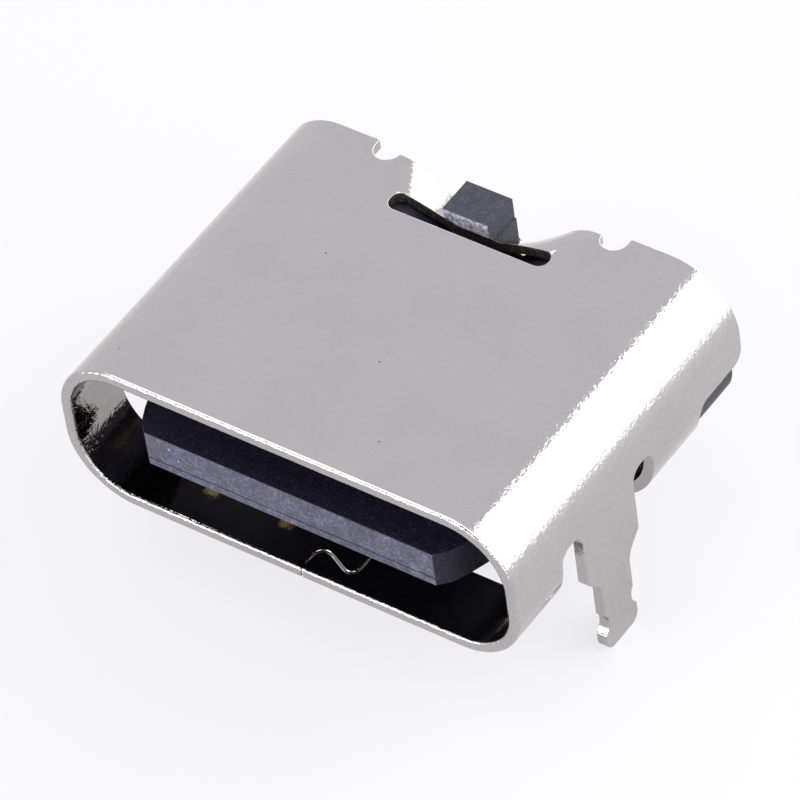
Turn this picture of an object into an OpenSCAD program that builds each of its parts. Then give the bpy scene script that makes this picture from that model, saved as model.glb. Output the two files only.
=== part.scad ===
// Six-contact, power-only USB Type-C socket that lies flat on a circuit board.
//
// A rolled steel shell with two snap-in legs holds an insulating housing whose tongue carries
// the contacts. The origin is on the board's surface, midway between the two legs.
// X runs across the mouth, +Y runs from the mouth to the back, and +Z points up.
// Inside the modules, y is counted from the mouth's plane and z from the middle of the mouth.

/* [Shell] */
// Clear width of the mouth
mouth_w = 8.34; // [8.2:0.01:8.6]
// Clear height of the mouth
mouth_h = 2.56; // [2.5:0.01:2.8]
// Thickness of the steel sheet
sheet = 0.2; // [0.15:0.01:0.25]
// Inside radius of the rolled corners
roll_r = 1.01; // [0.8:0.01:1.2]
// Length of the shell, from the mouth to the rear edge
shell_l = 6.5; // [6.3:0.05:7.5]
// Depth of the part of the back that has no floor
open_back = 1.25; // [1.1:0.05:1.4]
// Corner radius of the cuts in the sheet
cut_r = 0.25; // [0.15:0.01:0.3]

/* [Seam of the shell] */
// Distance of the seam from the middle
seam_x = 0.1; // [0:0.01:0.3]
// Gap left between the two edges of the seam
seam_gap = 0.03; // [0.02:0.005:0.04]
// How far the dovetail reaches past the seam
tail_reach = 0.84; // [0.6:0.01:1.1]
// Width of the dovetail at its head
tail_head = 1.28; // [1.1:0.01:1.4]
// Width of the dovetail at its neck
tail_neck = 0.89; // [0.8:0.01:0.95]
// Distance from each end of the seam to the dovetail's head
tail_inset = 0.31; // [0.25:0.01:0.4]

/* [Legs] */
// Distance from the mouth to the middle of the legs
leg_y = 2.58; // [2.5:0.02:2.8]
// Width of a leg where it leaves the side
leg_root = 1.46; // [1.3:0.02:1.6]
// Width of the pin that enters the board
pin_w = 0.79; // [0.7:0.01:0.95]
// Width of the pin at its neck
neck_w = 0.65; // [0.5:0.01:0.68]
// Length of the pin below the board's surface
pin_l = 1.58; // [1.3:0.02:2]
// Height of the barb at the pin's tip
barb_h = 0.5; // [0.4:0.01:0.6]
// Length of the hole that the leg is bent out of
window_l = 2.6; // [2.5:0.02:2.8]
// Width of the sheet left in the floor between the two holes
floor_w = 3.8; // [3:0.05:4]

/* [Rear lock] */
// Width of the slot in the top
slot_w = 3.06; // [2.8:0.02:3.2]
// Depth of the slot, front to back
slot_d = 0.38; // [0.3:0.01:0.45]
// Depth of the strip behind the slot
strip_d = 0.72; // [0.65:0.01:0.8]
// How far the strip stops short of the rear edge
strip_back = 0.13; // [0.05:0.01:0.2]
// Radius of the two relief notches in the rear edge
relief_r = 0.24; // [0.18:0.01:0.26]
// Distance of each relief notch from the middle
relief_x = 2.2; // [2.1:0.01:2.4]
// Slope at which the strip's rear edge is pressed down, in degrees
press_slope = 40; // [30:1:42]
// How far the middle of the strip's front edge is pressed down
press_front = 0.42; // [0.2:0.02:0.5]

/* [Tongue] */
// Width of the tongue
tongue_w = 6.69; // [6.6:0.01:6.74]
// Thickness of the tongue
tongue_t = 0.7; // [0.65:0.01:0.75]
// Length of the tongue, from its tip to the housing's front wall
tongue_l = 4.45; // [4.2:0.05:4.7]
// Distance of the tongue's tip behind the mouth
tip_back = 0.08; // [0.02:0.01:0.15]
// Length of the tongue's rounded flanks
flank_l = 1.72; // [1.2:0.02:1.8]
// Radius of the tongue's rounded flanks
flank_r = 3.2; // [2.5:0.1:4]
// How far the tip's front corners are cut off
tip_cut = 0.08; // [0.05:0.01:0.15]
// Depth of the latch notch in each flank
latch_d = 0.3; // [0.2:0.01:0.35]
// Length of the latch notch
latch_l = 0.9; // [0.7:0.02:1.1]

/* [Housing] */
// Clearance between the housing and the shell
fit_gap = 0.03; // [0.02:0.005:0.05]
// Corner radius of the housing's lower rear edges
heel_r = 0.7; // [0.5:0.05:0.9]
// Height of the housing's underside above the board
heel_up = 0.08; // [0.05:0.01:0.1]
// How far the housing's upper back stands in from the shell's rear edge
back_in = 0.3; // [0.2:0.01:0.35]
// Width of the post behind the slot
post_w = 0.89; // [0.8:0.01:1]
// Distance of the post from the middle
post_x = -0.21; // [-0.25:0.01:0.25]
// Depth of the web of sheet in front of the post
web_d = 0.14; // [0.12:0.01:0.2]
// Step between the post and its head
head_step = 0.03; // [0:0.01:0.05]
// Depth of the post's head below the shell's top
head_h = 0.42; // [0.3:0.01:0.5]

/* [Contacts] */
// Thickness of the contact sheet
contact_t = 0.12; // [0.1:0.01:0.15]
// Width of a contact on the tongue
contact_w = 0.26; // [0.2:0.01:0.3]
// Inside radius of the contact's bends
bend_r = 0.1; // [0.08:0.01:0.15]
// Distance from the tongue's tip to the power contacts
power_tip = 1.22; // [1:0.02:1.4]
// Distance from the tongue's tip to the two sensing contacts
sense_tip = 1.7; // [1.5:0.02:1.9]
// Width of the solder foot of a power contact
power_foot = 0.76; // [0.6:0.02:0.8]
// Width of the solder foot of a sensing contact
sense_foot = 0.3; // [0.25:0.01:0.35]
// How far the solder feet reach past the shell
foot_out = 0.65; // [0.4:0.05:1]

/* [Hidden] */
$fn = 96;

// Reach of a cut past the surface that it opens
past = 1;

// Straight steps that an arc in an outline is made of
arc_steps = 8;

// Shell
shell_w = mouth_w + 2 * sheet;
shell_h = mouth_h + 2 * sheet;
shell_r = roll_r + sheet;
side_z = mouth_h / 2 - roll_r;
floor_l = shell_l - open_back;

// Seam: corner radius of the dovetail, and how far its flanks lean, in degrees
tail_r = 0.18;
tail_lean = 26;

// Legs
window_y = leg_y - window_l / 2;
notch_w = (window_l - leg_root) / 2;
notch_r = min(cut_r, notch_w / 2);
board_z = -shell_h / 2;

// Shoulder of a leg: its height above the board, its slope in degrees and the radii of its two bends
shoulder_up = 0.3;
shoulder_turn = 45;
shoulder_r = 0.12;
fillet_r = 0.35;

// Barb: how far it stands out past the pin, and its corner radius
barb_step = 0.045;
barb_r = 0.2;

// Neck above the barb: the radius of its hollows, and their height above the barb's top
neck_r = 0.3;
neck_up = 0.1;

// Rear lock
strip_rear = shell_l - strip_back;
strip_front = strip_rear - strip_d;
slot_front = strip_front - slot_d;
slot_mid = strip_front - slot_d / 2;
slot_round = 0.96;
slot_r = slot_round * slot_d / 2;
strip_w = relief_x - relief_r - fit_gap;

// Pressed wings: where they start at the rear, how far the bend there reaches to each side,
// the power by which the front edge sinks toward the middle, and the mesh of the pressed sheet
press_w = strip_w - fit_gap;
press_edge = 0.3;
press_curve = 1.4;
wing_columns = 12;
web_columns = 4;
press_rows = 8;

// Post, and the rim squeezed out at its foot: its width, its two heights and its depth
post_front = strip_front + web_d + fit_gap;
post_rear = strip_rear;
rim_w = 0.16;
rim_low = 0.45;
rim_high = 0.62;
rim_d = 0.27;

// Housing
wall_y = tip_back + tongue_l;
latch_back = 0.1;
latch_y = tip_back + flank_l + latch_back + latch_l / 2;
body_w = mouth_w - 2 * fit_gap;
body_h = mouth_h - 2 * fit_gap;
body_r = roll_r - fit_gap;
heel_z = board_z + heel_up;
back_y = shell_l - back_in;

// Contacts, by their standard places along the tongue
pitch = 0.5;
sense_x = 1.5 * pitch;
power_x = 2.5 * pitch;
ground_x = 5.5 * pitch;
ground_foot_x = ground_x;
sense_foot_x = 0.5;
power_foot_x = 1.52;
foot_end = shell_l + foot_out;

// Plastic left behind the upper contacts' drop, in front of the lower ones' and in front of the necks
drop_cover = 0.3;
neck_cover = 0.3;
top_drop_y = back_y - drop_cover;
low_drop_y = floor_l + drop_cover;
neck_y = wall_y + neck_cover;

// ---- Helpers ----

// Brings the mouth's own coordinates to the board's
module place() {
    translate([0, -leg_y, -board_z]) children();
}

// Extrudes an (x, z) outline along y
module along_y(from, to) {
    translate([0, to, 0]) rotate([90, 0, 0]) linear_extrude(to - from) children();
}

// Extrudes a (y, z) outline along x
module along_x(from, to) {
    translate([from, 0, 0]) rotate([90, 0, 90]) linear_extrude(to - from) children();
}

// Rectangle with round corners, about the origin
module round_rect(w, h, r) {
    square([w, h - 2 * r], center = true);
    square([w - 2 * r, h], center = true);
    for (x = [-1, 1], y = [-1, 1])
        translate([x * (w / 2 - r), y * (h / 2 - r)]) circle(r);
}

// Rectangle with round corners, from its lowest corner to its highest
module round_box(low, high, r) {
    translate((low + high) / 2) round_rect(high.x - low.x, high.y - low.y, r);
}

// Points of an arc about c, from angle a to angle b
function arc(c, r, a, b) =
    [for (i = [0:arc_steps]) let (t = a + (b - a) * i / arc_steps) c + r * [cos(t), sin(t)]];

// Unit vector across a path at its point i
function across(path, i) =
    let (a = path[max(i - 1, 0)], b = path[min(i + 1, len(path) - 1)], d = (b - a) / norm(b - a))
    [-d.y, d.x];

// Outline of a band of the given width along a path
function band(path, w) = concat(
    [for (i = [0:len(path) - 1]) path[i] + across(path, i) * w / 2],
    [for (i = [len(path) - 1:-1:0]) path[i] - across(path, i) * w / 2]);

// ---- Shell ----

// Half of a leg above its neck, with y from the leg's middle, and both bends of its shoulder
module half_leg(barb_z) {
    shoulder_z = board_z + shoulder_up;
    fillet_z = shoulder_z - (leg_root - pin_w) / 2 / tan(shoulder_turn)
             - (shoulder_r + fillet_r) * tan(shoulder_turn / 2);
    polygon(concat([[0, -side_z / 2], [leg_root / 2, -side_z / 2]],
                   arc([leg_root / 2 - shoulder_r, shoulder_z], shoulder_r, 0, -shoulder_turn),
                   arc([pin_w / 2 + fillet_r, fillet_z], fillet_r, 180 - shoulder_turn, 180),
                   [[pin_w / 2, barb_z], [0, barb_z]]));
}

// One leg in its own plane, with y across it and z down the pin
module leg_outline() {
    barb_z = board_z - pin_l + barb_h / 2;
    translate([leg_y, 0]) difference() {
        union() {
            for (side = [0, 1]) mirror([side, 0]) half_leg(barb_z);
            translate([0, barb_z]) round_rect(pin_w + 2 * barb_step, barb_h, barb_r);
        }
        for (side = [-1, 1])
            translate([side * (neck_w / 2 + neck_r), barb_z + barb_h / 2 + neck_up])
                circle(neck_r);
    }
}

// Hole in the floor and the lower corner that the leg is bent out of, and its two side notches
module leg_window() {
    translate([0, 0, -shell_h]) linear_extrude(shell_h - side_z)
        round_box([floor_w / 2, window_y], [shell_w, window_y + window_l], cut_r);
    for (y = [window_y, window_y + window_l - notch_w])
        along_x(floor_w / 2 + cut_r, shell_w)
            round_box([y, -shell_h], [y + notch_w, 0], notch_r);
}

// Line of the seam in the floor, with a dovetail near each end
function dovetail(y) =
    let (half = tail_head / 2, r = tail_r, neck = tail_neck / 2 + r, head_x = seam_x + tail_reach)
    concat(arc([seam_x + r, y - neck], r, 180, 90 - tail_lean),
           arc([head_x - r, y - half + r], r, 270 - tail_lean, 360),
           arc([head_x - r, y + half - r], r, 0, 90 + tail_lean),
           arc([seam_x + r, y + neck], r, 270 + tail_lean, 180));
seam_line = concat([[seam_x, -past]], dovetail(tail_inset + tail_head / 2),
                   dovetail(floor_l - tail_inset - tail_head / 2), [[seam_x, shell_l + past]]);

// Ramp that starts at 0 and bends smoothly, within the given reach on both sides
function ramp(t, reach) = t <= -reach ? 0 : t >= reach ? t : pow(t + reach, 2) / (4 * reach);

// How far the strip lies below the shell's top, a share t of the way back along a ruled line
// that starts at a distance u.x from the middle at the front and ends at a distance u.y
function press(u, t) =
    let (front = press_front * pow(max(0, 1 - abs(u.x) / (slot_w / 2)), press_curve),
         rear = tan(press_slope) * ramp(press_w - press_edge - max(abs(u.y), post_w / 2), press_edge))
    front + (rear - front) * t;

// Pressed sheet between heights low and high, from the strip's front edge to its back
module pressed(low, high, front, back) {
    inner = [post_w / 2, post_w / 2];
    wing = concat([for (i = [0:wing_columns]) inner + ([slot_w / 2, press_w] - inner) * i / wing_columns],
                  [[strip_w, strip_w]]);
    lines = concat([for (i = [len(wing) - 1:-1:0]) -wing[i]],
                   [for (i = [1:web_columns - 1]) inner * (2 * i / web_columns - 1)], wing);
    ys = [for (j = [0:press_rows]) front + (back - front) * j / press_rows];
    nx = len(lines);
    ny = len(ys);
    sunk = [for (y = ys, u = lines) let (t = min(max((y - strip_front) / strip_d, 0), 1))
            [u.x + (u.y - u.x) * t, y, -press(u, t)]];
    top = [for (p = sunk) p + [0, 0, high]];
    bottom = [for (p = sunk) p + [0, 0, low]];
    n = nx * ny;
    cells = [for (j = [0:ny - 2], i = [0:nx - 2]) j * nx + i];
    polyhedron(concat(top, bottom), concat(
        [for (c = cells) [c, c + nx, c + 1]],
        [for (c = cells) [c + 1, c + nx, c + nx + 1]],
        [for (c = cells) [n + c, n + c + 1, n + c + nx]],
        [for (c = cells) [n + c + 1, n + c + nx + 1, n + c + nx]],
        [for (i = [0:nx - 2]) [i, i + 1, n + i + 1, n + i]],
        [for (i = [0:nx - 2]) let (k = (ny - 1) * nx + i) [k + 1, k, n + k, n + k + 1]],
        [for (j = [0:ny - 2]) let (k = j * nx) [k + nx, k, n + k, n + k + nx]],
        [for (j = [0:ny - 2]) let (k = j * nx + nx - 1) [k, k + nx, n + k + nx, n + k]]));
}

// Room for the post in the strip's rear edge, with extra room all round
module post_room(room) {
    translate([post_x - post_w / 2 - room, post_front - room, -shell_h])
        cube([post_w + head_step + 2 * room, shell_l, 2 * shell_h]);
}

// Slot, relief notches and shortened strip in the top of the back
module rear_cuts() {
    linear_extrude(shell_h) {
        translate([0, slot_mid]) round_rect(slot_w, slot_d, slot_r);
        for (side = [-1, 1]) translate([side * relief_x, strip_rear]) {
            circle(relief_r);
            translate([-relief_r, 0]) square([2 * relief_r, shell_l]);
        }
        translate([-relief_x, strip_rear]) square([2 * relief_x, shell_l]);
        translate([-strip_w, strip_front]) square([2 * strip_w, shell_l]);
    }
}

// Cut that opens the underside of the back, with the lower rear corners rounded off
module back_opening() {
    along_x(-shell_w, shell_w) {
        round_box([floor_l, -shell_h], [2 * shell_l, -side_z], cut_r);
        difference() {
            translate([shell_l - cut_r, -side_z - cut_r]) square([past, 2 * cut_r]);
            translate([shell_l - cut_r, cut_r - side_z]) circle(cut_r);
        }
    }
}

module shell() color("silver") place() {
    difference() {
        along_y(0, shell_l) difference() {
            round_rect(shell_w, shell_h, shell_r);
            round_rect(mouth_w, mouth_h, roll_r);
        }
        for (side = [0, 1]) mirror([side, 0, 0]) leg_window();
        back_opening();
        rear_cuts();
        translate([0, 0, -shell_h]) linear_extrude(shell_h) polygon(band(seam_line, seam_gap));
    }
    for (side = [0, 1]) mirror([side, 0, 0])
        along_x(mouth_w / 2, shell_w / 2) leg_outline();
    difference() {
        pressed(mouth_h / 2, shell_h / 2, strip_front, strip_rear);
        post_room(fit_gap);
    }
}

// ---- Housing ----

// Tongue in plan, with its flanks rounded toward the tip
module tongue_outline() {
    flank_y = tip_back + flank_l;
    tip_x = tongue_w / 2 - flank_r + sqrt(pow(flank_r, 2) - pow(flank_l, 2));
    translate([-tongue_w / 2, flank_y]) square([tongue_w, wall_y - flank_y + fit_gap]);
    for (side = [0, 1]) mirror([side, 0]) intersection() {
        polygon([[0, tip_back], [tip_x - tip_cut, tip_back],
                 [tip_x - tip_cut + flank_l, flank_y], [0, flank_y]]);
        translate([tongue_w / 2 - flank_r, flank_y]) circle(flank_r);
    }
}

// Notches in the flanks that the plug's side latches drop into
module latch_notches() {
    for (side = [-1, 1])
        translate([side * tongue_w / 2, latch_y, 0])
            cube([2 * latch_d, latch_l, past], center = true);
}

// Block that fills the back of the shell, with a heel where the shell has no floor
module body_block() {
    difference() {
        union() {
            along_y(wall_y, back_y) round_rect(body_w, body_h, body_r);
            along_y(floor_l + fit_gap, shell_l)
                round_box([-body_w / 2, heel_z], [body_w / 2, body_r], heel_r);
        }
        translate([-shell_w, back_y, -side_z]) cube([2 * shell_w, shell_l, shell_h]);
    }
}

// Post that stands on the heel behind the strip's web, with a rim squeezed out at its foot
module post() {
    head_z = shell_h / 2 - head_h;
    left = post_x - post_w / 2;
    right = post_x + post_w / 2;
    translate([left, post_front, -tongue_t])
        cube([post_w + head_step, post_rear - post_front, head_z + tongue_t]);
    translate([left, strip_front, head_z]) cube([post_w, post_rear - strip_front, head_h]);
    along_y(post_rear - rim_d, post_rear)
        polygon([[post_x, rim_low], [right + rim_w, rim_low], [right + head_step, rim_high],
                 [post_x, rim_high]]);
}

module housing() color([0.16, 0.17, 0.22]) difference() {
    place() difference() {
        union() {
            translate([0, 0, -tongue_t / 2]) linear_extrude(tongue_t) tongue_outline();
            difference() {
                body_block();
                pressed(mouth_h / 2 - fit_gap, 2 * shell_h, slot_front - fit_gap, 2 * shell_l);
            }
            post();
        }
        latch_notches();
        difference() {
            pressed(mouth_h / 2 - fit_gap, shell_h / 2 + fit_gap,
                    strip_front - fit_gap, strip_rear + fit_gap);
            post_room(0);
        }
    }
    contacts();
}

// ---- Contacts ----

// Side view of a contact: along the tongue, down through the block and out along the board
function contact_path(tip, beam_z, drop_y) =
    let (r = bend_r + contact_t / 2, foot_z = board_z + contact_t / 2)
    concat([[tip_back + tip, beam_z]],
           arc([drop_y - r, beam_z - r], r, 90, 0),
           arc([drop_y + r, foot_z + r], r, 180, 270),
           [[foot_end, foot_z]]);

// Contact of one row, from its place on the tongue to the place of its foot
module contact(x, foot_x, foot_w, tip, row) {
    beam_z = row * (tongue_t - contact_t) / 2;
    drop_y = row > 0 ? top_drop_y : low_drop_y;
    left = min(x - contact_w / 2, foot_x - foot_w / 2);
    right = max(x + contact_w / 2, foot_x + foot_w / 2);
    outline = band(contact_path(tip, beam_z, drop_y), contact_t);
    color("gold") place() {
        intersection() {
            along_x(x - contact_w / 2, x + contact_w / 2) polygon(outline);
            translate([-shell_w, 0, -shell_h]) cube([2 * shell_w, neck_y + contact_w, 2 * shell_h]);
        }
        translate([left, neck_y, beam_z - contact_t / 2])
            cube([right - left, contact_w, contact_t]);
        intersection() {
            along_x(foot_x - foot_w / 2, foot_x + foot_w / 2) polygon(outline);
            translate([-shell_w, neck_y, -shell_h]) cube([2 * shell_w, shell_l, 2 * shell_h]);
        }
    }
}

module contact_a5() contact(-sense_x, -sense_foot_x, sense_foot, sense_tip, 1);
module contact_a9() contact(power_x, power_foot_x, power_foot, power_tip, 1);
module contact_a12() contact(ground_x, ground_foot_x, power_foot, power_tip, 1);
module contact_b5() contact(sense_x, sense_foot_x, sense_foot, sense_tip, -1);
module contact_b9() contact(-power_x, -power_foot_x, power_foot, power_tip, -1);
module contact_b12() contact(-ground_x, -ground_foot_x, power_foot, power_tip, -1);

module contacts() {
    contact_a5();
    contact_a9();
    contact_a12();
    contact_b5();
    contact_b9();
    contact_b12();
}

shell();
housing();
contact_a5();
contact_a9();
contact_a12();
contact_b5();
contact_b9();
contact_b12();
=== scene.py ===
# %% [markdown]
# # A board socket, dressed and lit
# The part is a flat socket about 9 mm wide: a shell rolled from thin steel, a black moulding with
# a tongue inside it, and six flat contacts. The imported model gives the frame, so every new piece
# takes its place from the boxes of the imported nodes. Work on pieces this small is easiest in
# millimetres, and each finished mesh is scaled to metres at the end.

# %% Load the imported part
import bpy
import bmesh
from math import radians, cos, sin, tan, pi
from mathutils import Matrix, Vector


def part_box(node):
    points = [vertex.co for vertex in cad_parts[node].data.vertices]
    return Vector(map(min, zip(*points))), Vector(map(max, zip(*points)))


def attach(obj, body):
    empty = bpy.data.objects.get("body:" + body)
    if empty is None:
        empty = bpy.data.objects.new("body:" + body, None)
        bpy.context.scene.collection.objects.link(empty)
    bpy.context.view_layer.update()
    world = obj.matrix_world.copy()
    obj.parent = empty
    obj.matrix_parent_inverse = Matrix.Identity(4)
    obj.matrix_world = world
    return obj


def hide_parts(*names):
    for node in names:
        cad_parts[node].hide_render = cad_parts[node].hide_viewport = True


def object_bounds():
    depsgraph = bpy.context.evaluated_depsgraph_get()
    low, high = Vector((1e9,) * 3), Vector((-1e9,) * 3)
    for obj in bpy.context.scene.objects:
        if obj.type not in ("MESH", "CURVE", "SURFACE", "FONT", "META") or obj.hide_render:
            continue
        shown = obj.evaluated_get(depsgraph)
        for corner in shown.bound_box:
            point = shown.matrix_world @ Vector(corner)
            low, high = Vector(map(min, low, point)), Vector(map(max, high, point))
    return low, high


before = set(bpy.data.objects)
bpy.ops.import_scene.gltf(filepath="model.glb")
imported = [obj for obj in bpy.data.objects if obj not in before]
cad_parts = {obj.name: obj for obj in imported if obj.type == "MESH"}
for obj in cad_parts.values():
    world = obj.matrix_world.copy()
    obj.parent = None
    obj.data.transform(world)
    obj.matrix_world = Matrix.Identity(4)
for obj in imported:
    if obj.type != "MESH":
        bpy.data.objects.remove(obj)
for spare in ("Cube", "Light", "Camera"):
    if spare in bpy.data.objects:
        bpy.data.objects.remove(bpy.data.objects[spare])
cad_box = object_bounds()
scene = bpy.context.scene
MM = 0.001
NEAR, SAME_PLACE = 0.002, 0.0008      # in mm: lies on a line, and is the same point


def box_mm(node):
    low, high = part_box(node)
    return Vector(low) / MM, Vector(high) / MM


def rounded(corner):
    return [round(v, 3) for v in corner]


shell_low, shell_high = box_mm("shell")
FRONT, REAR, TOP, HALF_W = shell_low.y, shell_high.y, shell_high.z, shell_high.x
MID = TOP / 2
print("CAD box in mm:", [rounded(corner / MM) for corner in cad_box])

# %% [markdown]
# ## The view
# A small part is best seen from far away through a long lens, so that parallel edges stay almost
# parallel. The camera looks down over the mouth's right corner. It is placed by the direction that
# it looks from, how far it stands, and how much it is rolled about its own line of sight.

# %% Camera
VIEW_AZIMUTH = 40.47      # degrees from straight in front of the mouth, toward +X
VIEW_ELEVATION = 45.43
VIEW_ROLL = -8.74
VIEW_DISTANCE = 121.5 * MM
LENS, SENSOR = 343.4, 36
CLIP_NEAR, CLIP_FAR = 5 * MM, 50
AIM = Vector((0.214, 0.312, 1.48)) * MM

camera_data = bpy.data.cameras.new("studio_camera")
camera = bpy.data.objects.new("studio_camera", camera_data)
scene.collection.objects.link(camera)
azimuth, elevation = radians(VIEW_AZIMUTH), radians(VIEW_ELEVATION)
outward = Vector((sin(azimuth) * cos(elevation), -cos(azimuth) * cos(elevation), sin(elevation)))
turn = (-outward).to_track_quat("-Z", "Y").to_matrix() @ Matrix.Rotation(radians(VIEW_ROLL), 3, "Z")
camera.matrix_world = Matrix.Translation(AIM + outward * VIEW_DISTANCE) @ turn.to_4x4()
camera_data.sensor_width = SENSOR
camera_data.lens = LENS
camera_data.clip_start = CLIP_NEAR
camera_data.clip_end = CLIP_FAR
scene.camera = camera
print("camera at", rounded(camera.location / MM), "mm")

# %% [markdown]
# ## Basic shapes for sheet metal work
# Pressed sheet is a plain body with many cuts. Each cutting tool is a box or a rod with a few
# rounded edges, so three small makers are enough: a block, a rod, and a flat plate drawn by its
# corners. Bevelling an edge rounds it, and bevelling a corner point rounds an outline.

# %% Makers of simple bodies
AXES = {"x": Vector((1, 0, 0)), "y": Vector((0, 1, 0)), "z": Vector((0, 0, 1))}
CORNER_SEGMENTS, ROD_SEGMENTS = 8, 32
PARALLEL = 0.99       # cosine of the angle within which an edge counts as parallel to an axis


def block(low, high):
    bm = bmesh.new()
    bmesh.ops.create_cube(bm, size=1)
    low, high = Vector(low), Vector(high)
    bmesh.ops.scale(bm, vec=high - low, verts=bm.verts)
    bmesh.ops.translate(bm, vec=(low + high) / 2, verts=bm.verts)
    return bm


def round_edges(bm, axis, radius, segments=CORNER_SEGMENTS):
    edges = [e for e in bm.edges
             if abs((e.verts[0].co - e.verts[1].co).normalized().dot(AXES[axis])) > PARALLEL]
    bmesh.ops.bevel(bm, geom=edges, offset=radius, segments=segments, profile=0.5,
                    affect="EDGES", material=-1)
    return bm


def rod(centre, axis, radius, length):
    bm = bmesh.new()
    bmesh.ops.create_cone(bm, cap_ends=True, segments=ROD_SEGMENTS, radius1=radius,
                          radius2=radius, depth=length)
    turn = AXES["z"].rotation_difference(AXES[axis]).to_matrix()
    bmesh.ops.rotate(bm, matrix=turn, verts=bm.verts)
    bmesh.ops.translate(bm, vec=Vector(centre), verts=bm.verts)
    return bm


def moved_points(made):
    return [v for v in made["geom"] if isinstance(v, bmesh.types.BMVert)]


def plate(outline, thickness):
    bm = bmesh.new()
    corners = [bm.verts.new((0, y, z)) for y, z, cut in outline]
    bm.faces.new(corners)
    for corner, (y, z, cut) in zip(corners, outline):
        if cut:
            bmesh.ops.bevel(bm, geom=[corner], offset=cut, segments=CORNER_SEGMENTS,
                            profile=0.5, affect="VERTICES", material=-1)
    made = bmesh.ops.extrude_face_region(bm, geom=bm.faces[:])
    bmesh.ops.translate(bm, vec=(thickness, 0, 0), verts=moved_points(made))
    bmesh.ops.recalc_face_normals(bm, faces=bm.faces)
    return bm


# %% [markdown]
# Cutting and joining is done by a Boolean modifier whose result is read back. The slot number of
# the tool stays on the faces that it makes, so a sheared edge can get its own finish later.
# Flats are joined again afterwards, and every sharp edge gets a small round. Large flat faces then
# decide the shading at their corners, because polished metal shows the slightest false bend.

# %% Cutting, joining and finishing
PLATED, SHEARED = 0, 1
SLIVER, FLAT_ANGLE, SHARP_ANGLE = 0.004, 0.5, 35      # in mm, and in degrees
LARGE_SHARE = 0.5                                     # of the largest face at a corner


def combine(body, tool, operation="DIFFERENCE", slot=PLATED):
    for face in tool.faces:
        face.material_index = slot
    pair = []
    for bm in (body, tool):
        mesh = bpy.data.meshes.new("work")
        bm.to_mesh(mesh)
        bm.free()
        mesh.materials.append(None)
        mesh.materials.append(None)
        pair.append(bpy.data.objects.new("work", mesh))
        scene.collection.objects.link(pair[-1])
    modifier = pair[0].modifiers.new("combine", "BOOLEAN")
    modifier.object, modifier.operation, modifier.solver = pair[1], operation, "EXACT"
    modifier.material_mode = "INDEX"
    result = bmesh.new()
    result.from_object(pair[0], bpy.context.evaluated_depsgraph_get())
    for worked in pair:
        mesh = worked.data
        bpy.data.objects.remove(worked)
        bpy.data.meshes.remove(mesh)
    return result


def clean(bm):
    bmesh.ops.remove_doubles(bm, verts=bm.verts, dist=SAME_PLACE)
    bmesh.ops.dissolve_degenerate(bm, dist=SLIVER, edges=bm.edges)
    bmesh.ops.dissolve_limit(bm, angle_limit=radians(FLAT_ANGLE), verts=bm.verts, edges=bm.edges)


def soften(bm, width, where=lambda edge: True):
    edges = [e for e in bm.edges if e.is_manifold
             and e.calc_face_angle() > radians(SHARP_ANGLE) and where(e)]
    bmesh.ops.bevel(bm, geom=edges, offset=width, segments=2, profile=0.5, affect="EDGES",
                    material=-1, clamp_overlap=False)


def keep_flats_flat(mesh):
    """Shade each corner by the largest faces around it, so that a round never bends a flat."""
    around = [[] for _ in mesh.vertices]
    for face in mesh.polygons:
        for index in face.vertices:
            around[index].append(face)
    normals = []
    for faces in around:
        least = LARGE_SHARE * max(face.area for face in faces)
        large = [face.normal for face in faces if face.area >= least]
        normals.append(sum(large, Vector()).normalized())
    mesh.normals_split_custom_set_from_vertices(normals)


def finish_piece(bm, name, node, surfaces):
    """Keep the piece in its node's box, scale it to metres, and put it in the node's place."""
    low, high = box_mm(node)
    for vert in bm.verts:
        vert.co = Vector(max(a, min(v, b)) for a, v, b in zip(low, vert.co, high))
    bmesh.ops.scale(bm, vec=(MM, MM, MM), verts=bm.verts)
    for face in bm.faces:
        face.smooth = True
    open_edges = sum(not e.is_manifold for e in bm.edges)
    mesh = bpy.data.meshes.new(name)
    bm.to_mesh(mesh)
    bm.free()
    keep_flats_flat(mesh)
    for surface in surfaces:
        mesh.materials.append(surface.material)
    piece = bpy.data.objects.new(name, mesh)
    scene.collection.objects.link(piece)
    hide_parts(node)
    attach(piece, "root")
    print(name, "has", len(mesh.polygons), "faces,", open_edges, "open edges")


# %% [markdown]
# ## Helpers for materials
# A material here is a small graph: noise in Object coordinates drives colour, roughness and bump.
# Noise is given by the size of its grains in millimetres, which is easier to judge than a scale.
# A class holds the graph, so that each step of a material is one short call.

# %% Material helpers
WHITE, BLACK = (1, 1, 1), (0, 0, 0)
MIX_FIRST, MIX_SECOND, MIX_RESULT = 6, 7, 2      # the colour sockets of a Mix node
PIT_FLOOR = 0.6                                  # share of a pit's radius with an even tone


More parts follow.
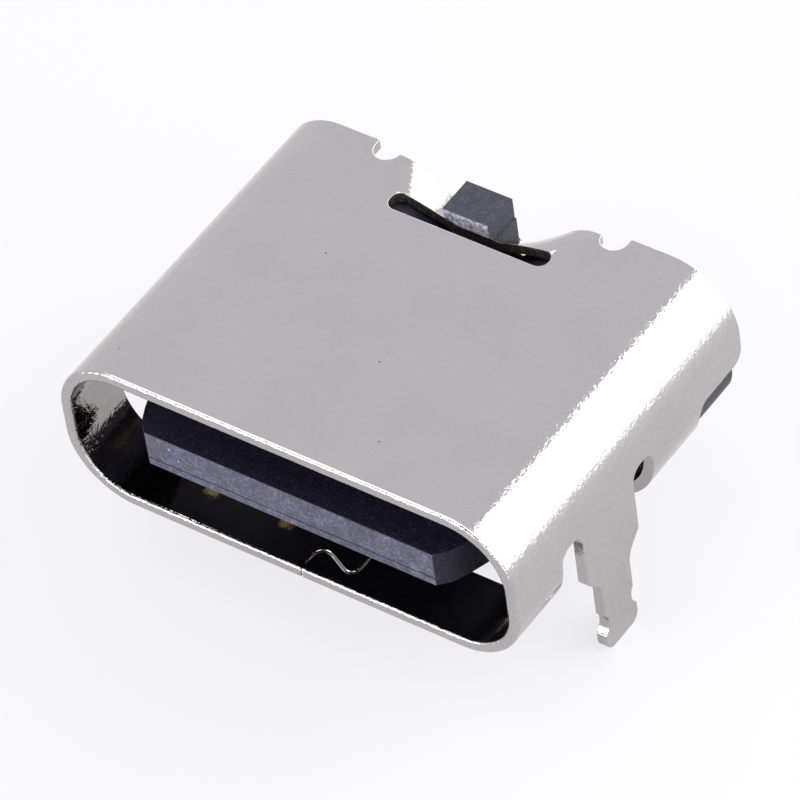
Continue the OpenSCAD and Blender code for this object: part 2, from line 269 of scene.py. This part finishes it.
class Graph:
    """The nodes of one material or of the world."""

    def __init__(self, owner):
        owner.use_nodes = True
        self.nodes, self.links = owner.node_tree.nodes, owner.node_tree.links

    def feed(self, socket, value):
        """Link a node's output to a socket, or set the socket to a plain value."""
        if isinstance(value, bpy.types.NodeSocket):
            self.links.new(value, socket)
        else:
            socket.default_value = value

    def add(self, kind, inputs):
        node = self.nodes.new("ShaderNode" + kind)
        for name, value in inputs.items():
            self.feed(node.inputs[name], value)
        return node

    def math(self, operation, *values):
        node = self.nodes.new("ShaderNodeMath")
        node.operation = operation
        for socket, value in zip(node.inputs, values):
            self.feed(socket, value)
        return node.outputs[0]

    def ramp(self, value, *stops):
        node = self.add("ValToRGB", {"Fac": value})
        elements = node.color_ramp.elements
        while len(elements) < len(stops):
            elements.new(0.5)
        for element, (position, colour) in zip(elements, stops):
            element.position = position
            element.color = (*colour, 1)
        return node.outputs["Color"]

    def greys(self, value, *stops):
        return self.ramp(value, *((position, (level,) * 3) for position, level in stops))

    def mix(self, share, first, second, mode="MIX"):
        node = self.nodes.new("ShaderNodeMix")
        node.data_type, node.blend_type = "RGBA", mode
        self.feed(node.inputs["Factor"], share)
        self.feed(node.inputs[MIX_FIRST], first)
        self.feed(node.inputs[MIX_SECOND], second)
        return node.outputs[MIX_RESULT]

    def times(self, first, second):
        return self.mix(1.0, first, second, "MULTIPLY")


class Surface(Graph):
    """A material, with its shader and its place in Object coordinates."""

    def __init__(self, name):
        self.material = bpy.data.materials.new(name)
        super().__init__(self.material)
        self.shader = self.nodes["Principled BSDF"]
        self.place = self.nodes.new("ShaderNodeTexCoord").outputs["Object"]

    def set(self, name, value):
        self.feed(self.shader.inputs[name], value)

    def noise(self, grain_mm, detail=2.0, roughness=0.5, stretch=(1, 1, 1)):
        mapping = self.add("Mapping", {"Vector": self.place, "Scale": stretch})
        texture = self.add("TexNoise", {"Vector": mapping.outputs["Vector"],
                                        "Scale": 1 / (grain_mm * MM),
                                        "Detail": detail, "Roughness": roughness})
        return texture.outputs["Fac"]

    def pits(self, spacing_mm, size_mm):
        """White in small round spots, about one in every cell of the given size."""
        cells = self.add("TexVoronoi", {"Vector": self.place, "Scale": 1 / (spacing_mm * MM)})
        edge = size_mm / spacing_mm
        return self.ramp(cells.outputs["Distance"],
                         (0.0, WHITE), (PIT_FLOOR * edge, WHITE), (edge, BLACK))

    def along(self, axis):
        return self.add("SeparateXYZ", {"Vector": self.place}).outputs[axis]

    def change(self, value, from_mm, to_mm, from_share, to_share):
        """Turn a length into a share that changes evenly between two places."""
        return self.add("MapRange", {"Value": value, "From Min": from_mm * MM,
                                     "From Max": to_mm * MM, "To Min": from_share,
                                     "To Max": to_share}).outputs["Result"]

    def bump(self, height, depth_mm, under=None):
        node = self.add("Bump", {"Height": height, "Distance": depth_mm * MM})
        if under is not None:
            self.feed(node.inputs["Normal"], under)
        self.set("Normal", node.outputs["Normal"])
        return node.outputs["Normal"]

    def report(self):
        print(self.material.name, "has", len(self.nodes), "nodes")


# %% [markdown]
# ## Plated steel
# The shell is stamped from bright steel and then plated. Plating is smooth but never flat: it has
# a very fine orange peel that breaks up the edge of each reflection, and a few dark pits. Rolling
# stretches the metal in the bends, and most of all at the rim, so there the plating is crinkled.
# The metal is a little warm, so the inside of the mouth, where light bounces many times, turns
# brown.

# %% Plated steel
CLOUD, POLISH, FLECK, GRAIN = 1.1, 0.10, 0.050, 0.028      # sizes of the metal's grains, in mm
PEEL, PEEL_D, CRINKLE, CRINKLE_D = 0.14, 0.0018, 0.070, 0.0060      # sizes and depths, in mm
PIT_SPACING, PIT_SIZE, PIT_TONE = 0.74, 0.022, (0.25, 0.22, 0.20)
DULL_STEEL, BRIGHT_STEEL = (0.480, 0.458, 0.449), (0.496, 0.474, 0.465)
SIDE_FROM, SIDE_TO = 3.30, 3.90          # from the middle, where the side's flecks begin
BEND_FROM, BEND_TO = 3.10, 3.70          # from the middle, where the bend's crinkles begin
RIM_FROM, RIM_TO = FRONT + 0.035, FRONT + 0.06
FLAT_SHARE, BEND_SHARE, RIM_SHARE = 0.30, 1.0, 4.0     # how strongly each is crinkled

steel = Surface("plated_steel")
steel.set("Metallic", 1.0)
tone = steel.ramp(steel.noise(CLOUD, 3), (0.35, DULL_STEEL), (0.65, BRIGHT_STEEL))
tone = steel.times(tone, steel.greys(steel.noise(GRAIN), (0.3, 0.95), (0.7, 1.0)))
from_middle = steel.math("ABSOLUTE", steel.along("X"))
on_side = steel.change(from_middle, SIDE_FROM, SIDE_TO, 0.0, 1.0)
flecks = steel.greys(steel.noise(FLECK, 3, 0.6, (1, 0.5, 1)), (0.40, 0.945), (0.60, 1.02))
tone = steel.mix(on_side, tone, steel.times(tone, flecks))
dark = steel.ramp(steel.pits(PIT_SPACING, PIT_SIZE), (0.0, WHITE), (1.0, PIT_TONE))
steel.set("Base Color", steel.times(tone, dark))
steel.set("Roughness", steel.greys(steel.noise(POLISH, 3), (0.3, 0.065), (0.7, 0.110)))
bend = steel.change(from_middle, BEND_FROM, BEND_TO, FLAT_SHARE, BEND_SHARE)
rim = steel.change(steel.along("Y"), RIM_FROM, RIM_TO, RIM_SHARE, FLAT_SHARE)
crinkle = steel.math("MULTIPLY", steel.noise(CRINKLE), steel.math("MAXIMUM", bend, rim))
crinkled = steel.bump(crinkle, CRINKLE_D)
steel.bump(steel.noise(PEEL, 1.0, 0.5, (1, 0.35, 1)), PEEL_D, crinkled)
steel.report()

# %% [markdown]
# ## Sheared steel
# Where the strip was lanced and pressed after plating, the cut shows bare metal, torn and a little
# stained. It is much rougher and darker than the plating, with an olive brown tint. The darkest
# tones are partly stain and partly painted shade, for the narrow slot that these faces line.

# %% Sheared steel
# Partly painted shade: the stained and bare tones are far darker than bare steel
STAIN_AND_SHADE, SHADED_BARE, TORN = (0.050, 0.046, 0.034), (0.150, 0.135, 0.100), (0.42, 0.40, 0.36)
STAIN, DULL, TEAR, TEAR_D = 0.07, 0.05, 0.045, 0.012      # sizes of grains, and a depth, in mm

sheared = Surface("sheared_steel")
sheared.set("Metallic", 0.85)
sheared.set("Base Color", sheared.ramp(sheared.noise(STAIN, 3, 0.6, (1, 1, 0.5)),
                                       (0.35, STAIN_AND_SHADE), (0.62, SHADED_BARE), (0.78, TORN)))
sheared.set("Roughness", sheared.greys(sheared.noise(DULL), (0.3, 0.35), (0.7, 0.6)))
sheared.bump(sheared.noise(TEAR, 3, 0.6, (1, 1, 0.4)), TEAR_D)
sheared.report()

# %% [markdown]
# ## The shell
# The real shell is one blank, stamped flat, rolled into a flat tube and closed by a dovetailed
# seam in the floor. Rolling it up in the computer would need the blank's exact outline. Cutting a
# finished tube gives the same shape with less work: a rounded block, minus a smaller one, minus
# every hole. Fine rolls matter here, because polished metal shows each flat as a kink.

# %% Tube
SHEET = 0.20
ROLL_R = 1.21
ROLL_SEGMENTS = 24
PAST = 1.0       # how far a cutting tool reaches past the sheet

outside = block((-HALF_W, FRONT, 0), (HALF_W, REAR, TOP))
inside = block((-HALF_W + SHEET, FRONT - PAST, SHEET), (HALF_W - SHEET, REAR + PAST, TOP - SHEET))
shell = combine(round_edges(outside, "y", ROLL_R, ROLL_SEGMENTS),
                round_edges(inside, "y", ROLL_R - SHEET, ROLL_SEGMENTS))
print("tube:", len(shell.faces), "faces,", rounded(shell_high - shell_low), "mm")

# %% [markdown]
# Each leg is bent straight down out of its own hole. The hole takes in a piece of the floor and
# the lower roll, with a round-ended notch in the side on each side of the leg.

# %% Holes for the legs, and the open back
CUT_R = 0.25
LEG_ROOT, WINDOW_L, FLOOR_W, FLOOR_L = 1.46, 2.60, 3.80, 5.25
NOTCH_W = (WINDOW_L - LEG_ROOT) / 2
for side in (-1, 1):
    near, far = sorted((side * FLOOR_W / 2, side * (HALF_W + PAST)))
    hole = block((near, -WINDOW_L / 2, -PAST), (far, WINDOW_L / 2, ROLL_R))
    shell = combine(shell, round_edges(hole, "z", CUT_R))
    near, far = sorted((side * (FLOOR_W / 2 + CUT_R), side * (HALF_W + PAST)))
    for y in (-WINDOW_L / 2, WINDOW_L / 2 - NOTCH_W):
        notch = block((near, y, -PAST), (far, y + NOTCH_W, MID))
        shell = combine(shell, round_edges(notch, "x", CUT_R))

opening = block((-HALF_W - PAST, FRONT + FLOOR_L, -PAST), (HALF_W + PAST, REAR + PAST, ROLL_R))
shell = combine(shell, round_edges(opening, "x", CUT_R))
corner = block((-HALF_W - PAST, REAR - CUT_R, ROLL_R - CUT_R),
               (HALF_W + PAST, REAR + PAST, ROLL_R + CUT_R))
corner = combine(corner, rod((0, REAR - CUT_R, ROLL_R + CUT_R), "x", CUT_R, 4 * HALF_W))
shell = combine(shell, corner)
print("with holes:", len(shell.faces), "faces")

# %% [markdown]
# A leg is a flat plate in the plane of the side: wide at the root, then soft shoulders, a pin, a
# neck, and a barb that snaps under the board. The list gives half of its outline, and how much of
# each corner is rounded away.

# %% Legs
PIN_W, BARB_STEP, NECK_W, NECK_R = 0.79, 0.045, 0.65, 0.30
SHOULDER_Z = 0.25
SHOULDER_LOW = SHOULDER_Z - (LEG_ROOT - PIN_W) / 2
PIN_END, BARB_TOP, NECK_Z = shell_low.z, -1.08, -0.98
half = [(LEG_ROOT / 2, MID - CUT_R, 0), (LEG_ROOT / 2, SHOULDER_Z, 0.05),
        (PIN_W / 2, SHOULDER_LOW, 0.145), (PIN_W / 2, BARB_TOP, 0.04),
        (PIN_W / 2 + BARB_STEP, BARB_TOP - BARB_STEP, 0.03), (PIN_W / 2 + BARB_STEP, PIN_END, 0.2)]
leg_outline = half + [(-y, z, cut) for y, z, cut in reversed(half)]
for side in (-1, 1):
    leg = plate(leg_outline, SHEET)
    left = HALF_W - SHEET if side > 0 else -HALF_W
    bmesh.ops.translate(leg, vec=(left, 0, 0), verts=leg.verts)
    for edge in (-1, 1):
        hollow = (side * HALF_W, edge * (NECK_W / 2 + NECK_R), NECK_Z)
        leg = combine(leg, rod(hollow, "x", NECK_R, 4 * SHEET))
    shell = combine(shell, leg, "UNION")
print("with legs:", len(shell.faces), "faces")

# %% [markdown]
# The top of the back is lanced: a slot, two round relief notches, and room for the plastic post
# between them. The cuts are sheared after plating; the faces of the slot and of the post's room
# take the sheared finish.

# %% Slot, notches and room for the post
STRIP_REAR = REAR - 0.13
STRIP_FRONT = STRIP_REAR - 0.72
SLOT_W, SLOT_D, SLOT_R = 3.06, 0.38, 0.18
RELIEF_X, RELIEF_R = 2.20, 0.24
POST_X, POST_W, POST_STEP, WEB_D, GAP = -0.21, 0.89, 0.03, 0.14, 0.03

slot = block((-SLOT_W / 2, STRIP_FRONT - SLOT_D, MID), (SLOT_W / 2, STRIP_FRONT, TOP + PAST))
shell = combine(shell, round_edges(slot, "z", SLOT_R), slot=SHEARED)
shell = combine(shell, block((-RELIEF_X, STRIP_REAR, MID), (RELIEF_X, REAR + PAST, TOP + PAST)))
for side in (-1, 1):
    x = side * RELIEF_X
    shell = combine(shell, rod((x, STRIP_REAR, TOP), "z", RELIEF_R, PAST))
    shell = combine(shell, block((x - RELIEF_R, STRIP_REAR, MID),
                                 (x + RELIEF_R, REAR + PAST, TOP + PAST)))
post_room = block((POST_X - POST_W / 2 - GAP, STRIP_FRONT + WEB_D, MID),
                  (POST_X + POST_W / 2 + POST_STEP + GAP, REAR + PAST, TOP + PAST))
shell = combine(shell, post_room, slot=SHEARED)
print("with rear cuts:", len(shell.faces), "faces")

# %% [markdown]
# The seam is a fine gap along a line with two dovetails. The line starts as a chain of edges. Its
# corners are rounded, it is pulled up into a ribbon, and the ribbon is given the gap's thickness.

# %% Dovetailed seam
SEAM_X, SEAM_GAP, SEAM_ROUND = 0.10, 0.03, 0.288
TAIL_REACH, TAIL_HEAD, TAIL_NECK, TAIL_MID = 0.84, 1.496, 0.674, 0.95


def dovetail(y):
    head_x = SEAM_X + TAIL_REACH
    return [(SEAM_X, y - TAIL_NECK / 2), (head_x, y - TAIL_HEAD / 2),
            (head_x, y + TAIL_HEAD / 2), (SEAM_X, y + TAIL_NECK / 2)]


line = [(SEAM_X, FRONT - PAST)] + dovetail(FRONT + TAIL_MID)
line += dovetail(FRONT + FLOOR_L - TAIL_MID) + [(SEAM_X, REAR + PAST)]
seam = bmesh.new()
points = [seam.verts.new((x, y, -PAST)) for x, y in line]
for start, end in zip(points, points[1:]):
    seam.edges.new((start, end))
bmesh.ops.bevel(seam, geom=points[1:-1], offset=SEAM_ROUND, segments=CORNER_SEGMENTS,
                profile=0.5, affect="VERTICES", material=-1)
ribbon = bmesh.ops.extrude_edge_only(seam, edges=seam.edges[:])
bmesh.ops.translate(seam, vec=(0, 0, PAST + 2 * SHEET), verts=moved_points(ribbon))
bmesh.ops.recalc_face_normals(seam, faces=seam.faces)
bmesh.ops.solidify(seam, geom=seam.faces[:], thickness=SEAM_GAP)
bmesh.ops.recalc_face_normals(seam, faces=seam.faces)
shell = combine(shell, seam)
clean(shell)
print("with the seam:", len(shell.faces), "faces")

# %% [markdown]
# A punch presses the strip down on both sides of the post. The sheet isn't cut there, only bent,
# so the mesh is bent too. Its faces are first divided along the lines that stay straight in the
# bend, which run from the slot's edge to the rear edge and fan out a little. Then each point
# sinks by the depth of the press at its place.

# %% Fine divisions in the strip
STRIP_W = RELIEF_X - RELIEF_R - GAP
PRESS_W = STRIP_W - GAP
STRIP_D = STRIP_REAR - STRIP_FRONT
INNER = POST_W / 2
LINES, ROWS = 20, 8
ON_CUT = 0.0005      # in mm: points this close to a dividing plane are kept


def strip_geometry(reach, front=STRIP_FRONT):
    inside = {v for v in shell.verts if v.co.y > front - NEAR and abs(v.co.x) < reach + NEAR
              and v.co.z > TOP - SHEET - NEAR}
    parts = [e for e in shell.edges if set(e.verts) <= inside]
    parts += [f for f in shell.faces if set(f.verts) <= inside]
    return sorted(inside, key=lambda v: v.index) + parts


def divide(reach, point, normal, front=STRIP_FRONT):
    shell.verts.index_update()
    bmesh.ops.bisect_plane(shell, geom=strip_geometry(reach, front), dist=ON_CUT,
                           plane_co=point, plane_no=normal)


divide(HALF_W, (0, STRIP_FRONT, 0), AXES["y"], FRONT)
for side in (-1, 1):
    divide(HALF_W, (side * STRIP_W, 0, 0), AXES["x"])
for row in range(1, ROWS):
    divide(STRIP_W, (0, STRIP_FRONT + STRIP_D * row / ROWS, 0), AXES["y"])
for side in (-1, 1):
    for number in range(LINES + 1):
        share = number / LINES
        start = Vector((side * (INNER + (SLOT_W / 2 - INNER) * share), STRIP_FRONT, 0))
        end = Vector((side * (INNER + (PRESS_W - INNER) * share), STRIP_REAR, 0))
        divide(STRIP_W, start, (end - start).cross(AXES["z"]))
print("divided strip:", len(shell.faces), "faces")

# %% [markdown]
# The press goes deepest at the post and runs out toward the slot's ends. Along the slot the depth
# follows a soft curve, and along the rear edge it is a straight slope with a rounded start.
# Between the two it changes evenly.

# %% Press the strip down
PRESS_FRONT, PRESS_CURVE = 0.42, 1.4           # depth in mm along the slot, and its curve
PRESS_SLOPE, PRESS_EDGE = 40, 0.30             # degrees along the rear edge, and its start in mm


def soft_ramp(t, reach):
    if t <= -reach:
        return 0
    return t if t >= reach else (t + reach) ** 2 / (4 * reach)


def press_depth(x, y):
    back = min(max((y - STRIP_FRONT) / STRIP_D, 0), 1)
    front_x = rear_x = abs(x)
    if front_x > INNER:
        reach = (SLOT_W / 2 - INNER) * (1 - back) + (PRESS_W - INNER) * back
        share = (front_x - INNER) / reach
        front_x = INNER + (SLOT_W / 2 - INNER) * share
        rear_x = INNER + (PRESS_W - INNER) * share
    front = PRESS_FRONT * max(0, 1 - front_x / (SLOT_W / 2)) ** PRESS_CURVE
    inward = PRESS_W - PRESS_EDGE - max(rear_x, INNER)
    rear = tan(radians(PRESS_SLOPE)) * soft_ramp(inward, PRESS_EDGE)
    return front + (rear - front) * back


deepest = 0
for part in strip_geometry(STRIP_W):
    if isinstance(part, bmesh.types.BMVert):
        depth = press_depth(part.co.x, part.co.y)
        part.co.z -= depth
        deepest = max(deepest, depth)
print("strip pressed down by up to", round(deepest, 2), "mm")

# %% [markdown]
# No stamped edge is perfectly sharp. The rim of the mouth is rounded most, and it is this narrow
# round that catches the light as a thin bright line.

# %% Soften the edges
RIM_ROUND, SEAM_EDGE, EDGE_ROUND = 0.042, 0.030, 0.014
RIM_END = FRONT + 1.5 * RIM_ROUND


def on_rim(edge):
    return all(abs(v.co.y - FRONT) < NEAR for v in edge.verts)


def behind_rim(edge):
    return min(v.co.y for v in edge.verts) > RIM_END


def in_seam(edge):
    return behind_rim(edge) and all(
        v.co.z < SHEET + NEAR and abs(v.co.x) < FLOOR_W / 2 - CUT_R
        and v.co.y < FRONT + FLOOR_L - NEAR for v in edge.verts)


soften(shell, RIM_ROUND, where=on_rim)
soften(shell, SEAM_EDGE, where=in_seam)
soften(shell, EDGE_ROUND, where=lambda edge: behind_rim(edge) and not in_seam(edge))
finish_piece(shell, "rolled_shell", "shell", [steel, sheared])

# %% [markdown]
# ## Moulded plastic
# The housing is a heat-resistant plastic filled with short glass fibres. It is nearly black, a
# little blue, and its skin is speckled where fibres lie close to the surface. The tongue's tip is
# painted paler than the rest: painted light on the tongue's front face.

# %% Moulded plastic
TONGUE_TIP = FRONT + 0.08
# Where the painted light on the tongue's tip fades out, in mm
TIP_LIGHT_FROM, TIP_LIGHT_TO = TONGUE_TIP + 0.03, TONGUE_TIP + 0.08
SPECKLE, SCUFF, GRIT = 0.035, 0.20, 0.05      # sizes of grains, in mm
GRIT_D, GLOSS_D, SCRAPE_D = 0.006, 0.004, 0.012      # depths in mm on each kind of skin
DEEP_SKIN, SKIN, FIBRES = (0.024, 0.024, 0.040), (0.060, 0.061, 0.092), (0.17, 0.175, 0.235)
GLINT_SPACING, GLINT_SIZE, GLINT = 0.36, 0.019, (0.36, 0.36, 0.40)
# Painted light: the tip's tone is well above the body's tone
LIT_TIP_TONE, BODY_TONE = 1.40, 0.52

plastic = Surface("moulded_plastic")
skin = plastic.ramp(plastic.noise(SPECKLE, 4, 0.7),
                    (0.34, DEEP_SKIN), (0.56, SKIN), (0.80, FIBRES))
scuffs = plastic.greys(plastic.noise(SCUFF, 4, 0.6), (0.35, 0.65), (0.65, 1.15))
# Painted light: the tongue's front is painted brighter than the body behind it
lit_tip = plastic.change(plastic.along("Y"), TIP_LIGHT_FROM, TIP_LIGHT_TO, LIT_TIP_TONE, BODY_TONE)
skin = plastic.times(plastic.times(skin, scuffs), lit_tip)
glints = plastic.ramp(plastic.pits(GLINT_SPACING, GLINT_SIZE), (0.0, BLACK), (1.0, GLINT))
plastic.set("Base Color", plastic.mix(1.0, skin, glints, "ADD"))
plastic.set("Specular IOR Level", 0.35)
plastic.set("Roughness", plastic.greys(plastic.noise(SCUFF, 3), (0.3, 0.45), (0.7, 0.62)))
plastic.bump(plastic.noise(GRIT, 4, 0.65), GRIT_D)
plastic.report()

# %% [markdown]
# Inside the mouth the same plastic is smoother, and its colour is made almost black, with only a
# faint speckle. The dark colour is painted shade, for the shadow inside the mouth.

# %% Plastic in the mouth, with painted shade
# Painted shade: these tones are far darker than the same plastic outside the mouth
SHADED_DEEP_SKIN, SHADED_SKIN, SHADED_FIBRES = (0.003, 0.003, 0.008), (0.013, 0.012, 0.026), (0.075, 0.075, 0.11)

shaded_mouth_plastic = Surface("shaded_mouth_plastic")
shaded_mouth_plastic.set("Base Color", shaded_mouth_plastic.ramp(
    shaded_mouth_plastic.noise(SPECKLE, 4, 0.7), (0.40, SHADED_DEEP_SKIN), (0.60, SHADED_SKIN), (0.74, SHADED_FIBRES)))
shaded_mouth_plastic.set("Specular IOR Level", 0.25)
shaded_mouth_plastic.set("Roughness", shaded_mouth_plastic.greys(shaded_mouth_plastic.noise(SCUFF, 3),
                                                     (0.3, 0.38), (0.7, 0.55)))
shaded_mouth_plastic.bump(shaded_mouth_plastic.noise(GRIT, 3, 0.6), GLOSS_D)
shaded_mouth_plastic.report()

# %% [markdown]
# The press scrapes the front of the post, which leaves the plastic there rough and pale. The pale
# colour is partly the scrape and partly painted light, for a face that the lamps hardly reach.

# %% Scraped plastic, with painted light
GOUGE, BURR = 0.075, 0.08
# Partly painted light: the scrape's tones are raised well above the plastic's own
GOUGED, LIT_SCRAPE, PALE_LIT_SCRAPE = (0.07, 0.07, 0.10), (0.42, 0.41, 0.50), (0.86, 0.84, 0.94)

scraped_and_lit = Surface("scraped_and_lit_plastic")
scraped_and_lit.set("Base Color", scraped_and_lit.ramp(scraped_and_lit.noise(GOUGE, 4, 0.65),
                                       (0.34, GOUGED), (0.55, LIT_SCRAPE), (0.75, PALE_LIT_SCRAPE)))
scraped_and_lit.set("Roughness", 0.7)
scraped_and_lit.bump(scraped_and_lit.noise(BURR, 4, 0.65), SCRAPE_D)
scraped_and_lit.report()

# %% [markdown]
# ## Housing
# The imported housing already has its shape. What it lacks is the small round that every mould
# leaves on an edge, and the line where two moulded layers of the tongue meet. So a copy is merged,
# its flat faces are joined again, the line is cut in, and the edges are rounded. Then each face
# gets its kind of plastic: smooth in the mouth, with painted shade; scraped on the post's front,
# with painted light; rough elsewhere.

# %% Housing
TONGUE_T, TONGUE_L = 0.70, 4.45
LINE_UP, LINE_W, LINE_D = 0.15, 0.020, 0.030
TIP_ROUND, TIP_ZONE, MOULD_ROUND = 0.022, 0.05, 0.008
WALL, ON_WALL = TONGUE_TIP + TONGUE_L, 0.01
POST_LOW = 2.2
SLANTED, UPRIGHT = 0.6, 0.9      # how squarely a face looks toward the mouth, at least
# Slots: rough plastic, smooth plastic with painted shade, scraped plastic with painted light
ROUGH, SHADED_SMOOTH, SCRAPED_AND_LIT = 0, 1, 2


def copy_of(node):
    bm = bmesh.new()
    bm.from_mesh(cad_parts[node].data)
    bmesh.ops.scale(bm, vec=(1 / MM, 1 / MM, 1 / MM), verts=bm.verts)
    bmesh.ops.remove_doubles(bm, verts=bm.verts, dist=SAME_PLACE)
    for face in bm.faces:
        face.material_index = 0
    return bm


def on_tip_top(edge, reach):
    return all(v.co.y < TONGUE_TIP + reach and v.co.z > MID for v in edge.verts)


# Faces in the mouth take the plastic with painted shade, and the post's front the one with painted
# light
def plastic_of(face):
    middle, toward_mouth = face.calc_center_median(), -face.normal.y
    if middle.z > POST_LOW and middle.y > STRIP_FRONT and toward_mouth > SLANTED:
        return SCRAPED_AND_LIT
    on_tongue = TONGUE_TIP + ON_WALL < middle.y < WALL + ON_WALL and toward_mouth < UPRIGHT
    return SHADED_SMOOTH if on_tongue or abs(middle.y - WALL) < ON_WALL else ROUGH


housing = copy_of("housing")
clean(housing)
line_z = MID - TONGUE_T / 2 + LINE_UP
housing = combine(housing, block((-HALF_W, TONGUE_TIP - PAST, line_z - LINE_W / 2),
                                 (HALF_W, TONGUE_TIP + LINE_D, line_z + LINE_W / 2)))
clean(housing)
soften(housing, TIP_ROUND, where=lambda edge: on_tip_top(edge, NEAR))
soften(housing, MOULD_ROUND, where=lambda edge: not on_tip_top(edge, TIP_ZONE))
for face in housing.faces:
    face.material_index = plastic_of(face)
finish_piece(housing, "moulded_housing", "housing",
             [plastic, shaded_mouth_plastic, scraped_and_lit])

# %% [markdown]
# ## Gold-plated contacts
# The contacts are strips of copper alloy with a thin coat of gold, a soft yellow metal with faint
# lines along the direction in which the strip was rolled. Stamping rounds their edges a little.

# %% Gold plating and contacts
DULL_GOLD, BRIGHT_GOLD = (0.44, 0.33, 0.17), (0.56, 0.43, 0.23)
ROLLED = (1, 0.1, 1)         # grains drawn out along the strip
GOLD_CLOUD, SHEEN, LINE, LINE_DEPTH = 0.3, 0.05, 0.04, 0.0008      # in mm
STAMP_ROUND = 0.012

gold = Surface("gold_plating")
gold.set("Metallic", 1.0)
gold.set("Base Color", gold.ramp(gold.noise(GOLD_CLOUD, 3), (0.3, DULL_GOLD), (0.7, BRIGHT_GOLD)))
gold.set("Roughness", gold.greys(gold.noise(SHEEN, 2, 0.5, ROLLED), (0.3, 0.22), (0.7, 0.34)))
gold.bump(gold.noise(LINE, 2, 0.5, ROLLED), LINE_DEPTH)
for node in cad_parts:
    if node.startswith("contact"):
        contact = copy_of(node)
        clean(contact)
        soften(contact, STAMP_ROUND)
        finish_piece(contact, "plated_" + node, node, [gold])

# %% [markdown]
# ## The studio
# The part stands on the tips of its legs on a pale floor. Polished metal shows whatever is around
# it, so the studio matters as much as the metal. The floor has to look almost white with no more
# light on the part, so a share of plain white is mixed into it where the camera sees it, and a
# smaller share where the metal mirrors it. The rest is an ordinary floor that keeps the shadow.

# %% Floor
FLOOR_SIZE, FLOOR_TONE, GLOW_TONE = 20, (0.49, 0.485, 0.502, 1), (0.99, 0.98, 1, 1)
SEEN_GLOW = 0.74          # share of plain white in the floor that the camera sees
MIRRORED_GLOW = 0.51      # the same share in the floor that the metal mirrors
floor_z = cad_box[0].z - 0.005 * MM     # a hair below the legs, so no two faces share a plane

bpy.ops.mesh.primitive_plane_add(size=FLOOR_SIZE, location=(0, 0, floor_z))
floor = bpy.context.object
floor.name = "studio_floor"
pale = Surface("pale_floor")
pale.set("Base Color", FLOOR_TONE)
pale.set("Roughness", 0.9)
pale.set("Specular IOR Level", 0.0)
glow = pale.add("Emission", {"Color": GLOW_TONE, "Strength": 1.0})
ray = pale.add("LightPath", {}).outputs
seen = pale.math("MAXIMUM", ray["Is Camera Ray"], ray["Is Transmission Ray"])
share = pale.math("MAXIMUM", pale.math("MULTIPLY", seen, SEEN_GLOW),
                  pale.math("MULTIPLY", ray["Is Glossy Ray"], MIRRORED_GLOW))
mixer = pale.add("MixShader", {"Fac": share})
pale.feed(mixer.inputs[1], pale.shader.outputs["BSDF"])
pale.feed(mixer.inputs[2], glow.outputs["Emission"])
pale.feed(pale.nodes["Material Output"].inputs["Surface"], mixer.outputs["Shader"])
floor.data.materials.append(pale.material)
print("floor at z =", round(floor_z / MM, 2), "mm")

# %% [markdown]
# The room is white all round and dark only on the side where the camera stands. The top of the
# shell mirrors the white part, and the floor of the mouth mirrors the dark part.

# %% Room
DARK_SIDE = Vector((0.35, -0.70, 0.62)).normalized()
WHITE_WALL, DARK_WALL = (0.99, 0.975, 1.045), (0.06, 0.06, 0.07)

world = bpy.data.worlds.new("studio_room")
scene.world = world
room = Graph(world)
facing = room.nodes.new("ShaderNodeVectorMath")
facing.operation = "DOT_PRODUCT"
facing.inputs[1].default_value = DARK_SIDE
room.feed(facing.inputs[0], room.nodes.new("ShaderNodeTexCoord").outputs["Generated"])
walls = room.ramp(facing.outputs["Value"], (0.38, WHITE_WALL), (0.76, DARK_WALL))
room.feed(room.nodes["Background"].inputs["Color"], walls)
room.feed(room.nodes["Background"].inputs["Strength"], 1.0)
print("room:", len(room.nodes), "nodes")

# %% [markdown]
# Each softbox has one task. The right one makes the bright band on the rolled corner, and the back
# one lights the pressed wings. A low one in front brings out the tongue. The key stands where the
# rim's round mirrors it, as a thin bright line. A small one lights the floor beyond the part, on
# the right, and one overhead fills in the plastic.

# %% Softboxes
FLOOR_LIT = (0.076, 0.048, floor_z)


def softbox(name, toward, distance, width, height, radiance, centre=(0, 0, 0)):
    lamp = bpy.data.lights.new(name, "AREA")
    lamp.shape = "RECTANGLE"
    lamp.size, lamp.size_y = width, height
    lamp.energy = radiance * pi * width * height
    holder = bpy.data.objects.new(name, lamp)
    scene.collection.objects.link(holder)
    toward = Vector(toward).normalized()
    side = AXES["z"].cross(toward).normalized()
    turn = Matrix((side, toward.cross(side), toward)).transposed()
    holder.matrix_world = Matrix.Translation(Vector(centre) + toward * distance) @ turn.to_4x4()
    holder.visible_camera = False
    print(name, "shines at", radiance)


softbox("right_softbox", (0.80, 0.10, 0.45), 0.35, 0.92, 0.54, 2.3)
softbox("back_softbox", (-0.050, 1.0, 0.31), 0.80, 1.04, 0.68, 2.0)
softbox("front_softbox", (-0.25, -1.0, 0.14), 0.80, 1.10, 0.28, 6.0)
softbox("key_softbox", (-0.4555, -0.712, 0.534), 0.80, 0.46, 0.34, 6.3)
softbox("floor_softbox", (-0.36, -0.22, 0.90), 0.044, 0.05, 0.05, 30.0, FLOOR_LIT)
softbox("top_softbox", (-0.20, -0.10, 1.0), 0.80, 0.50, 0.50, 2.0)

# %% [markdown]
# The standard view transform shows each colour as it is lit, without a film's curve.

# %% View transform
scene.view_settings.view_transform = "Standard"
